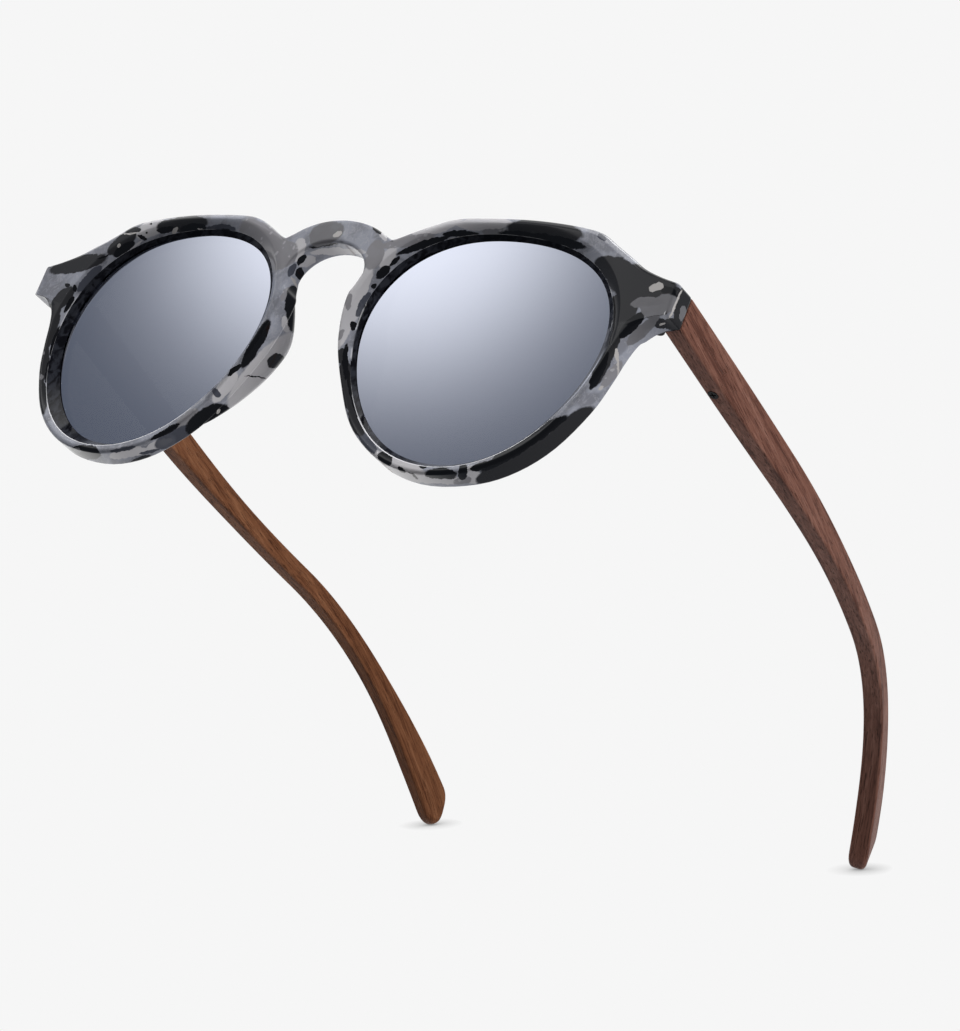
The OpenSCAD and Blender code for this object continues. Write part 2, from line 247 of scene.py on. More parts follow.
# what the face leaves free beside the rounded edge
EDGE_CLEAR = 0.1
# a spoke that runs along the outline counts as this far across it, and is used up to this share of its length
LEAST_ACROSS, MOST_USED = 0.2, 0.7
# the underside of an end piece: beyond this x, between these heights
UNDERSIDE_X, UNDERSIDE_LOW, UNDERSIDE_HIGH = 60, 4.3, 8.6
SHARP = radians(50)
# how near to a wall or a crease a vertex counts as part of it
NEAR_WALL, NEAR_CREASE, NEAR_FLARE = 0.1, 0.05, 0.3
MARKED_WALL, MARKED_CREASE = 0.35, 0.06
GROOVE_START, GROOVE_END = LIP + 0.05, RECESS + LENS_THICK + 0.35
SEAM = 0.01


def low_share(a):
    """1 at the bottom of a lens, 0 over its upper half."""
    return max(-sin(a), 0) ** 1.5


def wall_height(a):
    """How far the crease stands above the lens: most at the bottom, on the arm's side."""
    return 1.1 + 0.35 * cos(a) - 0.25 * sin(2 * a) + 0.9 * low_share(a)


def crease_r(a):
    """Radius of the crease: the opening widens towards the face, least at the top."""
    return (lens_r(a) + 1.05 + 0.35 * cos(a) - 0.2 * sin(a) + 0.15 * cos(2 * a) - 0.35 * sin(2 * a)
            + 0.2 * low_share(a))


def outer_drop(a):
    """How far the face's outer edge lies back: only beside the nose, low down."""
    return max(cos(a - NOSE_SIDE), 0) ** NOSE_FOCUS


def ramp(value, none, full):
    """0 at none, 1 at full, smooth between."""
    share = min(max((value - none) / (full - none), 0), 1)
    return share * share * (3 - 2 * share)


def brow_share(a):
    """1 along the brow, 0 at the bridge, the end piece and below."""
    return ramp(degrees(a), *BROW_ARM_SIDE) * ramp(degrees(a), *BROW_NOSE_SIDE)


def crown_point(turn):
    """A point of the bridge's crown, an oval arc, by its angle in degrees from the middle."""
    a = radians(turn)
    return Vector((CROWN_W * sin(a), CROWN_Z - CROWN_DROP + CROWN_DROP * cos(a)))


def natural_spoke(p):
    """The angle of a point of the outline as seen from the middle of its lens, in degrees."""
    return degrees(atan2(p.y, p.x - EYE_X))


def spread(knots, steps):
    """Values in even steps from each knot to the next."""
    return [a + (b - a) * k / steps for a, b in zip(knots, knots[1:]) for k in range(steps)]


def between(start, end):
    """A column of points from one point to another."""
    return [start.lerp(end, k / ROOT_ROWS) for k in range(ROOT_ROWS + 1)]


def outer_path():
    """The front's outer edge on the wearer's left, with the angle of each spoke to the lens opening."""
    top = lens_r(pi / 2)
    brow = []
    for x, z in BROW:
        raised = top + z + BROW_RAISE * brow_share(atan2(top + z, x))
        brow.append(Vector((EYE_X + x, raised)))
    end_top = Vector((END_X, END_Z + END_H / 2))
    end_foot = Vector((END_X, END_Z - END_H / 2))
    heel = end_foot - Vector((HEEL_IN, HEEL_DOWN))
    band = []
    for turn, extra in BAND:
        a = radians(turn)
        r = lens_r(a) + RIM_W + extra
        band.append(Vector((EYE_X + r * cos(a), r * sin(a))))
    key = Vector((KEY_W, KEY_Z))
    key_foot = key - Vector((KEY_FLARE, KEY_FALL))
    upper = spline([crown_point(CROWN_END), *brow, end_top], SPAN)[SPAN:]
    upper_spokes = [natural_spoke(p) for p in [*brow, end_top]]
    lower = spline([end_foot, heel, *band, key_foot, key], SPAN)
    lower_spokes = [natural_spoke(end_foot), *HEEL_SPOKES, *[turn for turn, _ in BAND[3:]],
                    natural_spoke(key_foot) - 360, ROOT_SPOKES[0]]
    points = upper[:-1] + between(end_top, end_foot)[:-1] + lower[:-1] + between(key, brow[0])[:-1]
    turns = (spread(upper_spokes, SPAN) + spread([upper_spokes[-1], lower_spokes[0]], ROOT_ROWS)
             + spread(lower_spokes, SPAN) + spread(ROOT_SPOKES, ROOT_ROWS))
    return points, [radians(turn) for turn in turns]


def bridge_columns():
    """Columns of points from the root of the bridge to its middle, each from the arch up to the crown."""
    crown = [crown_point(turn) for turn in range(CROWN_END, -1, -CROWN_STEP)]
    brow_end = Vector((EYE_X + BROW[0][0], lens_r(pi / 2) + BROW[0][1]))
    tops = spline([brow_end, *crown], 2)
    columns = []
    for j in range(1, BRIDGE_COLUMNS + 1):
        share = j / BRIDGE_COLUMNS
        place = share * (len(tops) - 1)
        i = min(int(place), len(tops) - 2)
        high = tops[i].lerp(tops[i + 1], place - i)
        a = pi / 2 * (1 - share)
        low = Vector((KEY_W * sin(a), KEY_Z + KEY_RISE * cos(a)))
        columns.append(between(low, high))
    return columns


def flat(p, depth=0.0):
    """A point of the outline in the front's own flat space, before the front is bent."""
    return Vector((p.x, depth, p.y))


def on_spokes(radius, angles):
    """Points round the lens, at the angles of the spokes."""
    return [Vector((EYE_X + radius(a) * cos(a) * cos(WRAP), radius(a) * sin(a))) for a in angles]


def spoke_slant(outer, k, inner):
    """How much longer the way in from the outline is along a spoke than straight across."""
    along = (outer[(k + 1) % len(outer)] - outer[k - 1]).normalized()
    spoke = inner - outer[k]
    way_in = spoke.normalized()
    across = abs(along.x * way_in.y - along.y * way_in.x)
    return min(1 / max(across, LEAST_ACROSS), MOST_USED * spoke.length)


def front_face(bm):
    """One half of the face, from the lens outwards, with its half of the bridge."""
    outer, angles = outer_path()
    crease = on_spokes(crease_r, angles)
    edges = [outer_drop(a) for a in angles]
    brows = [brow_share(a) for a in angles]
    drops = [RECESS - wall_height(a) for a in angles]
    slants = [spoke_slant(outer, k, p) for k, p in enumerate(crease)]
    narrow = EDGE_ROUND + EDGE_CLEAR
    loop = first_loop(bm, [flat(p, LIP) for p in on_spokes(lens_r, angles)])
    for k in range(ROLL_STEPS + 1):
        share = k / ROLL_STEPS
        places = []
        for p, q, drop, edge, brow, slant in zip(crease, outer, drops, edges, brows, slants):
            kept = narrow + (SHOULDER[0][0] - narrow) * brow + EDGE_CLEAR
            width = min(ROLL_OUT, (q - p).length - kept * slant)
            places.append(flat(p + (q - p).normalized() * width * share,
                               edge + (drop - edge) * (1 - share) ** ROLL_CURVE))
        loop = pull(bm, loop, places)
    for distance, fall in SHOULDER:
        places = []
        for p, q, edge, brow, slant in zip(crease, outer, edges, brows, slants):
            back = (narrow + (distance - narrow) * brow) * slant
            places.append(flat(q + (p - q).normalized() * back, edge + SHOULDER_DROP * fall * brow))
        loop = pull(bm, loop, places)
    loop = pull(bm, loop, [flat(p, edge + SHOULDER_DROP * brow)
                           for p, edge, brow in zip(outer, edges, brows)])
    strip = loop[-ROOT_ROWS:] + loop[:1]
    for column in bridge_columns():
        strip = pull(bm, strip, [flat(p) for p in column], closed=False)
    for vert in strip:
        vert.co.x = 0


def from_lens(vert):
    """Distance of a vertex from the middle of its lens, and its angle."""
    x = abs(vert.co.x) - EYE_X
    return hypot(x, vert.co.z), atan2(vert.co.z, x)


def within(vert, radius, margin):
    """Whether a vertex lies inside a radius round its lens, with a margin."""
    r, a = from_lens(vert)
    return r < radius(a) + margin


def above_crease(vert):
    """How far a vertex stands above the crease."""
    return RECESS - wall_height(from_lens(vert)[1]) - vert.co.y


def sharp_edges(bm, opening):
    """The hard edges of the lens openings, or all the others."""
    return [e for e in bm.edges if e.is_manifold and e.calc_face_angle() > SHARP
            and all(within(v, crease_r, NEAR_FLARE) for v in e.verts) == opening]


def under_end_piece(edge):
    """Whether an edge lies on the underside of an end piece, where the spokes run along the outline."""
    return all(abs(v.co.x) > UNDERSIDE_X and UNDERSIDE_LOW < v.co.z < UNDERSIDE_HIGH for v in edge.verts)


def on_crease(vert):
    """Whether a vertex lies where the rolled face meets the wall of a lens opening."""
    return within(vert, crease_r, NEAR_CREASE) and abs(above_crease(vert)) < NEAR_CREASE


def mark_walls(bm):
    """Mark each vertex: 1 on the wall of an opening, 0.5 on its crease, 0 outside; the marble paints shade on
    the walls and a highlight along the crease by this mark.
    """
    wall = bm.verts.layers.float.new("wall")
    for vert in bm.verts:
        if within(vert, crease_r, MARKED_WALL) and vert.co.y < RECESS:
            rise = above_crease(vert)
            vert[wall] = 1.0 if rise < -MARKED_CREASE else 0.5 if rise < MARKED_CREASE else 0.0


def opening_walls(bm):
    """The faces of the lens openings' walls, behind the lip."""
    return [f for f in bm.faces if all(within(v, lens_r, NEAR_WALL) for v in f.verts)]


def cut_groove(bm):
    """The groove that holds each lens, sunk into the wall of its opening."""
    for depth in (GROOVE_START, GROOVE_END):
        parts = {part for f in opening_walls(bm) for part in (f, *f.edges, *f.verts)}
        bmesh.ops.bisect_plane(bm, geom=list(parts), plane_co=(0, depth, 0), plane_no=(0, 1, 0))
    middle = RECESS + LENS_THICK / 2
    floor = [f for f in opening_walls(bm) if abs(f.calc_center_median().y - middle) < LENS_THICK / 2]
    sunk = bmesh.ops.extrude_face_region(bm, geom=floor)["geom"]
    bmesh.ops.delete(bm, geom=floor, context="FACES_ONLY")
    for vert in (part for part in sunk if isinstance(part, bmesh.types.BMVert)):
        centre = Vector((EYE_X if vert.co.x > 0 else -EYE_X, vert.co.y, 0))
        vert.co += (vert.co - centre).normalized() * GROOVE


def by_quarter(bm):
    """Give each face the marble of its quarter: the wearer's left upper and lower, then the right ones."""
    for face in bm.faces:
        middle = face.calc_center_median()
        face.material_index = (0 if middle.x > 0 else 2) + (0 if middle.z > 0 else 1)


def make_front(materials):
    """The rims, the bridge and the end pieces, shaped flat and then bent at the bridge."""
    bm = bmesh.new()
    front_face(bm)
    bmesh.ops.mirror(bm, geom=whole(bm), axis="X", merge_dist=SEAM)
    bmesh.ops.remove_doubles(bm, verts=bm.verts, dist=SEAM / 2)
    back = bmesh.ops.extrude_face_region(bm, geom=list(bm.faces))["geom"]
    for vert in (part for part in back if isinstance(part, bmesh.types.BMVert)):
        vert.co.y = FRONT_THICK
    bmesh.ops.recalc_face_normals(bm, faces=bm.faces)
    outline = [e for e in sharp_edges(bm, opening=False) if not under_end_piece(e)]
    round_off(bm, outline, EDGE_ROUND, EDGE_STEPS, held=False)
    back_edges = [e for e in sharp_edges(bm, opening=True) if e.verts[0].co.y > RECESS]
    round_off(bm, back_edges, BACK_ROUND, BACK_STEPS)
    creases = [e for e in bm.edges if all(on_crease(v) for v in e.verts)]
    round_off(bm, creases, CREASE_ROUND, CREASE_STEPS)
    mark_walls(bm)
    cut_groove(bm)
    for vert in bm.verts:
        vert.co.y = face_y(vert.co.x) + vert.co.y / cos(WRAP)
    by_quarter(bm)
    finish_piece(bm, "front", "front", materials, ["front_frame"])


# The lenses

LENS_STEPS, LENS_RINGS = 144, 20
LENS_CHAMFER, LENS_PLAY = 0.3, 0.1
WING = Matrix.Rotation(WRAP, 4, "Z") @ Matrix.Translation((EYE_X / cos(WRAP), 0, 0))
# a face that looks this straight along the dome's own slope, as a cosine, is part of the dome
DOME_FACING = 0.99


def lens_ring(inset, depth, share=1.0):
    """Places round the lens, in from its edge, or at a share of the way from its middle."""
    places = []
    for k in range(LENS_STEPS):
        a = 2 * pi * k / LENS_STEPS
        r = (lens_r(a) + GROOVE - LENS_PLAY - inset) * share
        sag = r * r / (2 * LENS_DOME) - LENS_SAG
        places.append((r * cos(a), depth + sag, r * sin(a)))
    return places


def make_lens(side_name, side, materials):
    """A shallow dome with a chamfered edge, sitting in the groove."""
    bm = bmesh.new()
    rim = first_loop(bm, lens_ring(0, LENS_THICK / 2))
    for way, depth in ((-1, 0), (1, LENS_THICK)):
        loop = pull(bm, rim, lens_ring(0, depth - way * LENS_CHAMFER))
        loop = pull(bm, loop, lens_ring(LENS_CHAMFER, depth))
        for edge in edges_between(bm, loop, True):
            edge.smooth = False
        for k in range(LENS_RINGS - 1, 0, -1):
            loop = pull(bm, loop, lens_ring(LENS_CHAMFER, depth, k / LENS_RINGS))
        bmesh.ops.pointmerge(bm, verts=loop, merge_co=(0, depth - LENS_SAG, 0))
    for face in bm.faces:
        face.material_index = 0 if face.calc_center_median().y < LENS_THICK / 4 else 1
    bmesh.ops.transform(bm, matrix=WING, verts=bm.verts)
    piece = finish_piece(bm, f"lens_{side_name}_mirror", "front", materials, [f"lens_{side_name}"],
                         side, weighted=False)
    even_dome(piece.data, side)


def even_dome(mesh, side):
    """Give both faces of the lens the exact slope of their dome, so that the mirror shows no facets."""
    middle = WING @ Vector((0, LENS_DOME - LENS_SAG, 0))
    middle.x *= side
    middle = SEAT @ middle
    slopes = [Vector((0, 0, 0))] * len(mesh.loops)
    for face in mesh.polygons:
        outward = (face.center - middle).normalized()
        way = outward.dot(face.normal)
        if abs(way) < DOME_FACING:
            continue
        for corner in face.loop_indices:
            place = mesh.vertices[mesh.loops[corner].vertex_index].co
            slopes[corner] = (place - middle).normalized() * (1 if way > 0 else -1)
    mesh.normals_split_custom_set(slopes)


# The arms

ARM_STATIONS, TIP_STEPS, CORNER_STEPS = 96, 8, 4
# the first station lies inside the front, and the joint's face cuts the arm off behind it
START_U = -0.03
# the arms' lengths, as shares of the full length
ARM_REACH = {"left": 0.9915, "right": 1.0066}
ARM_HEIGHTS = [ARM_H, ARM_H, 0.7 * ARM_H + 0.3 * ARM_SLIM, 0.12 * ARM_H + 0.88 * ARM_SLIM, ARM_SLIM,
               ARM_SLIM + 0.1, ARM_TIP]
ARM_EDGE = 0.5
# the tip: where it starts to close, how much softer its edges are, and how far it slants back
TIP_L = 3
TIP_U = 1 - TIP_L / ARM_L
TIP_SOFTER, SOFTER_FROM = 0.5, 0.93
TIP_SLANT, SLANT_FROM = 2.4, 0.92
TIP_THICK = 0.5
LEAST_WIDE, LEAST_TALL, MOST_ROUND = 0.3, 0.25, 0.6
SMALL_U, LAST_U = 0.002, 1e-5
MOUTH_SHARP, MOUTH_NEAR = radians(60), 0.01
MOUTH_ROUND, MOUTH_STEPS = 0.2, 2


def over(u, start):
    """How far along the arm a place is past a start, as a share of what is left."""
    return max(u - start, 0) / (1 - start)


def arm_point(u):
    """The arm's middle line, which slopes down, then drops and curls behind the ear."""
    return Vector((ARM_X - ARM_T / 2 + ARM_SPLAY * u - EAR_CURL * over(u, CURL_FROM) ** 2,
                   ARM_Y + ARM_L * u,
                   END_Z - ARM_L * u * tan(PITCH) - EAR_DROP * over(u, DROP_FROM) ** 2))


def arm_height(u):
    """The arm's height, smooth from each of its heights to the next."""
    last = len(ARM_HEIGHTS) - 1
    v = min(max(u, 0), 0.9999) * last
    i = int(v)
    return knot(ARM_HEIGHTS[max(i - 1, 0)], ARM_HEIGHTS[i], ARM_HEIGHTS[i + 1],
                ARM_HEIGHTS[min(i + 2, last)], v - i)


def arm_section(u, reach):
    """A rounded oblong across the arm, which shrinks to the slanted round tip."""
    left = reach - u
    along = (arm_point(u + SMALL_U) - arm_point(u - SMALL_U)).normalized()
    across = Vector((along.y, -along.x, 0)).normalized()
    upward = across.cross(along)
    shrink = 1.0 if left >= 1 - TIP_U else sqrt(max(1 - (1 - left / (1 - TIP_U)) ** 2, 0))
    wide = max(ARM_T / 2 * (TIP_THICK + (1 - TIP_THICK) * shrink), LEAST_WIDE)
    tall = max(arm_height(u) / 2 * shrink, LEAST_TALL)
    round_r = min(ARM_EDGE + TIP_SOFTER * over(1 - left, SOFTER_FROM), MOST_ROUND * tall)
    places = []
    for quarter, (right, up) in enumerate(((1, 1), (-1, 1), (-1, -1), (1, -1))):
        for k in range(CORNER_STEPS + 1):
            turn = pi / 2 * (quarter + k / CORNER_STEPS)
            height = up * (tall - round_r) + round_r * sin(turn)
            slant = TIP_SLANT * over(1 - left, SLANT_FROM) ** 2 * 2 * height / arm_height(u)
            places.append(arm_point(u) + across * (right * (wide - round_r) + round_r * cos(turn))
                          + upward * height - along * slant)
    return places


def arm_stations(reach):
    """Shares of the arm's length from the hinge to the tip, the last ones closer together."""
    start = TIP_U + reach - 1
    body = [START_U + (start - START_U) * k / ARM_STATIONS for k in range(ARM_STATIONS + 1)]
    tip = [start + (1 - TIP_U) * sin(pi / 2 * k / TIP_STEPS) for k in range(1, TIP_STEPS)]
    return body + tip + [reach - LAST_U]


# the slots for the hinge's housing and the screw that holds its tail, beside the hinge screw
SLOT_X = KNUCKLE_R + KNUCKLE_GAP + ARM_T / 2
FIT = 0.05
HOUSE_T, HOUSE_H, HOUSE_END = 2.5, 3.5, 11
TAIL_T, TAIL_H, TAIL_END = 1.9, 3.0, 19.0
KNUCKLE_H, WEB_L = 2.2, 1.2
SCREW_L, SCREW_HEAD_R, SCREW_HEAD_T = 16.6, 1.0, 0.9
ARM_FOOT = ARM_H / 2 - FIT
# the cutters start well outside the arm, and the tail's one inside the housing's
MOUTH_OUT, FOOT_OUT, TAIL_IN = -5, -6, 1


def slot_cutter(low_x, high_x, start, end, height):
    """A cutter along the arm, with play behind, above and below."""
    half = height / 2 + FIT
    return block((low_x, start, -half), (high_x, end + FIT, half))


def arm_slots():
    """The room for the housing, its tail, the web of the middle knuckle, and the screw's head."""
    house, tail = HOUSE_T / 2 + FIT, TAIL_T / 2 + FIT
    return [slot_cutter(SLOT_X - house, SLOT_X + house, MOUTH_OUT, HOUSE_END, HOUSE_H),
            slot_cutter(SLOT_X - tail, SLOT_X + tail, HOUSE_END - TAIL_IN, TAIL_END, TAIL_H),
            slot_cutter(0, SLOT_X, MOUTH_OUT, WEB_L + FIT, KNUCKLE_H),
            rod(SCREW_HEAD_R + FIT, (SLOT_X, SCREW_L, FOOT_OUT), SCREW_HEAD_T - ARM_FOOT - FOOT_OUT)]


def make_arm(side_name, side, material):
    """A wooden arm, cut off along the back of the front and slotted for its hinge."""
    bm = bmesh.new()
    reach = ARM_REACH[side_name]
    stations = arm_stations(reach)
    loop = first_loop(bm, arm_section(stations[0], reach))
    for u in stations[1:]:
        loop = pull(bm, loop, arm_section(u, reach))
    normal = Vector((-sin(WRAP), cos(WRAP), 0))
    joint = normal * (FRONT_BACK + JOINT_GAP)
    bmesh.ops.bisect_plane(bm, geom=whole(bm), plane_co=joint, plane_no=normal, clear_inner=True)
    close_ends(bm)
    bmesh.ops.recalc_face_normals(bm, faces=bm.faces)
    mouth = [e for e in bm.edges if e.calc_face_angle(0) > MOUTH_SHARP
             and all(abs((v.co - joint).dot(normal)) < MOUTH_NEAR for v in e.verts)]
    round_off(bm, mouth, MOUTH_ROUND, MOUTH_STEPS)
    for cutter in arm_slots():
        carve(bm, cutter)
    finish_piece(bm, f"arm_{side_name}_wood", f"arm_{side_name}", [material],
                 [f"temple_{side_name}"], side)


# The nose pads

PAD_R, PAD_SUNK = 1.5, 1
# along the pad: angle round the lens, shift towards the lens, depth behind the rim
PAD_SPINE = [(146, -0.1, 0.1), (156, 0.0, 1.5), (165, 0.3, 3.7), (175, 0.8, 5.9), (187, 1.2, 5.6),
             (203, 1.0, 3.8), (215, 0.4, 1.9), (226, -0.1, 0.2)]
PAD_STEPS, PAD_ROUND = 6, 32
# how bluntly the pad's ends close, and how little is left of them
PAD_BLUNT, PAD_LEFT = 5, 0.02


def pad_ring(angle, shift, depth, swell):
    """An oval across the pad, from inside the rim to its depth behind it."""
    a = radians(angle)
    r = lens_r(a) + PAD_R - shift
    half = (depth + PAD_SUNK) / 2 * swell
    middle = Vector((EYE_X + r * cos(a), 0, r * sin(a)))
    middle.y = middle.x * tan(WRAP) + FRONT_BACK / cos(WRAP) + (depth - PAD_SUNK) / 2
    outward = Vector((cos(a), 0, sin(a))) * PAD_R * swell
    places = []
    for k in range(PAD_ROUND):
        turn = 2 * pi * k / PAD_ROUND
        places.append(middle + outward * cos(turn) + Vector((0, half * sin(turn), 0)))
    return places


def make_nose_pad(side_name, side, materials):
    """A rounded ridge on the back of the rim, deepest above its middle."""
    bm = bmesh.new()
    stations = spline([Vector(place) for place in PAD_SPINE], PAD_STEPS)
    last = len(stations) - 1
    rings = []
    for k, station in enumerate(stations):
        end = abs(2 * k / last - 1)
        rings.append(pad_ring(*station, sqrt(max(1 - end ** PAD_BLUNT, PAD_LEFT))))
    loop = first_loop(bm, rings[0])
    for ring in rings[1:]:
        loop = pull(bm, loop, ring)
    close_ends(bm)
    by_quarter(bm)
    for face in bm.faces:
        face.material_index += 0 if side > 0 else 2
    finish_piece(bm, f"nose_pad_{side_name}_ridge", "front", materials,
                 [f"nose_pad_{side_name}"], side, weighted=False)


# Finishes

class Wire:
    """A socket in a node tree. Sums and products of wires add Math nodes."""

    def __init__(self, tree, socket=None):
        self.tree, self.socket = tree, socket

    def add(self, kind, settings=None, sockets=None, out=0):
        """Add a node: its settings first, then the values or wires of its sockets."""
        node = self.tree.nodes.new(kind)
        for name, value in (settings or {}).items():
            setattr(node, name, value)
        for key, value in (sockets or {}).items():
            if isinstance(value, Wire):
                self.tree.links.new(value.socket, node.inputs[key])
            else:
                node.inputs[key].default_value = value
        return Wire(self.tree, node.outputs[out] if len(node.outputs) else None)

    def math(self, operation, *others, first=None):
        """A Math node of this wire and others, or of a first value and this wire."""
        values = [self, *others] if first is None else [first, self]
        return self.add("ShaderNodeMath", {"operation": operation}, dict(enumerate(values)))

    def __add__(self, other):
        return self.math("ADD", other)

    __radd__ = __add__

    def __mul__(self, other):
        return self.math("MULTIPLY", other)

    __rmul__ = __mul__

    def __sub__(self, other):
        return self.math("SUBTRACT", other)

    def __rsub__(self, other):
        return self.math("SUBTRACT", first=other)

    def __truediv__(self, other):
        return self.math("DIVIDE", other)

    def __rtruediv__(self, other):
        return self.math("DIVIDE", first=other)

    def __pow__(self, other):
        return self.math("POWER", other)

    def least(self, other):
        """The smaller of two values."""
        return self.math("MINIMUM", other)

    def most(self, other):
        """The larger of two values."""
        return self.math("MAXIMUM", other)

    def step(self, low, high):
        """0 below low, 1 above high, smooth between."""
        return self.add("ShaderNodeMapRange", {"interpolation_type": "SMOOTHSTEP"},
                        {"Value": self, "From Min": low, "From Max": high})

    def mix(self, low, high, blend="MIX"):
        """A colour between two, by this wire."""
        return self.add("ShaderNodeMix", {"data_type": "RGBA", "blend_type": blend},
                        {0: self, 6: low, 7: high}, out=2)


def grey(level):
    """An even grey."""
    return (level, level, level, 1)


def new_material(name):
    """An empty material, and a wire to start its nodes from."""
    material = bpy.data.materials.new(name)
    material.use_nodes = True
    material.node_tree.nodes.clear()
    return material, Wire(material.node_tree)


def glasses_place(wire):
    """The place on the glasses in millimetres, before they are set down on the floor."""
    shift = LEANT.inverted() @ Vector((0, -SEAT_Y, -SEAT_Z))
    texture = wire.add("ShaderNodeTexCoord", out="Object")
    return wire.add("ShaderNodeMapping", {"vector_type": "POINT"},
                    {"Vector": texture, "Location": shift, "Rotation": (-LEAN, 0, 0),
                     "Scale": (1 / MM,) * 3})


def xyz(wire, place):
    """The three parts of a place."""
    return [wire.add("ShaderNodeSeparateXYZ", {}, {0: place}, out=axis) for axis in "XYZ"]


def noise(wire, place, scale, detail=2.0, roughness=0.5, distortion=0.0, out=0):
    """Soft random clouds, the same at each run."""
    return wire.add("ShaderNodeTexNoise", {"noise_dimensions": "3D"},
                    {"Vector": place, "Scale": scale, "Detail": detail, "Roughness": roughness,
                     "Distortion": distortion}, out=out)


def wandering(wire, place, strength, scale, detail, roughness):
    """How far a noise moves each place, to make straight edges ragged."""
    push = noise(wire, place, scale, detail, roughness, out="Color")
    centred = wire.add("ShaderNodeVectorMath", {"operation": "SUBTRACT"}, {0: push, 1: (0.5, 0.5, 0.5)})
    return wire.add("ShaderNodeVectorMath", {"operation": "SCALE"}, {0: centred, "Scale": strength})


def end_material(wire, shader):
    """Give a material its finished shader."""
    wire.add("ShaderNodeOutputMaterial", {}, {"Surface": shader})


def surface(wire, sockets):
    """A shader with its sockets set or wired."""
    return wire.add("ShaderNodeBsdfPrincipled", {}, sockets)


# Blotches of the marbled plastic: middle x and z, half length, half width in millimetres, and tilt in degrees
LIGHT = [(13.2, 15.2, 2.3, 1.5, 75), (21, 22.4, 5.2, 1.5, 24), (30.5, 23.5, 6, 1.3, 4),
         (10, 4, 9.5, 2.2, 88), (32, -25.8, 8, 2.2, -14), (41, -27.2, 5.5, 1.2, 0),
         (48, -25.9, 2.2, 1.4, -40), (10, 20, 1.7, 0.5, -38), (2, 15.9, 6.5, 0.7, 0),
         (-49, 22.2, 3.8, 2.2, 15), (-51.8, 18.3, 2.3, 0.35, 36), (-7.6, 16.4, 2.6, 1.5, -65),
         (-4.2, 13.9, 1.8, 1.3, 20), (-5, -9, 9, 3.4, 62), (-11.8, -12.8, 3.6, 1.8, 65),
         (-29, -26.6, 5, 1.1, 8), (-22.5, -24.8, 3, 1.1, 20), (-3.3, 0.6, 2.1, 0.7, -45)]
MIDDLE = [(10.2, 15.6, 3.3, 1.9, 100), (16, 18.9, 5.4, 1.3, 14), (33.5, 22, 2.8, 0.8, 2),
          (8.8, 5.6, 1.9, 0.75, -75), (10, -1, 1.1, 0.55, 90), (46.5, -27.2, 1.8, 0.9, 8),
          (-17, 18.6, 9.5, 2.7, -27), (-11, 15, 3.6, 3.2, 0), (-6.3, 7, 1.7, 0.9, 80),
          (-18, -19.5, 3, 1.6, 50), (67.5, -4.2, 3, 1.2, 72)]
NAVY = [(12.2, 5.4, 2.6, 0.9, 85), (24.4, -21.5, 3.4, 1.1, -38), (-30, 21.7, 4, 0.9, -6),
        (-7.3, 12.1, 1.5, 0.8, 80), (-19.3, -23.3, 4.4, 2.1, 22), (-31, -25.8, 3.2, 0.5, 8),
        (-24, -26.3, 2.5, 0.4, 12), (-13.4, -13.8, 1.6, 0.6, -30), (55.3, 22.4, 1.2, 0.5, -28),
        (-61, 1.5, 3, 0.8, 90), (-59.9, 11.4, 3.4, 1.7, 58)]
CHARCOAL = [(43.4, 22.8, 8.2, 2.4, -4), (60.5, 16.2, 5, 2.3, -18), (66.5, 13.6, 7.5, 3.8, -14),
            (64.3, 7.5, 6.5, 3.2, 80), (64.8, 0.5, 7.5, 1.7, 92), (53.5, -24.8, 4.8, 2.4, 28),
            (58.8, -20.8, 5.8, 3.3, 42), (63.4, -16, 6, 3.1, 58), (12.1, -5.2, 1.7, 1, -55),
            (14.4, -8.5, 2.8, 1.3, -56), (20.7, -17.8, 3.6, 1.5, -48), (16.8, -12.8, 5, 1.3, -54),
            (8.6, 20.8, 1.5, 0.5, -35), (73, 6.3, 2.2, 1, -12), (76.3, 10, 4.6, 1.9, -78),
            (73.4, 12.4, 1.5, 1.1, -25), (75.6, 6.2, 2.4, 1.2, -10), (-65, 14.8, 7.4, 2, 9),
            (-65, 7, 3, 2.3, 40), (-65.1, 1.5, 6.4, 2.1, -74), (-62.6, -7.7, 5.2, 1.8, -66),
            (-59, -14.6, 5, 1.6, -55), (-55.3, 19.2, 3.7, 2.3, 38), (-53.8, 22.1, 2.4, 0.7, -5),
            (-41, 23, 6.9, 1.8, 0), (-2.3, -7, 2.1, 1.6, -10), (-25.5, -28.1, 2.6, 0.8, 18)]
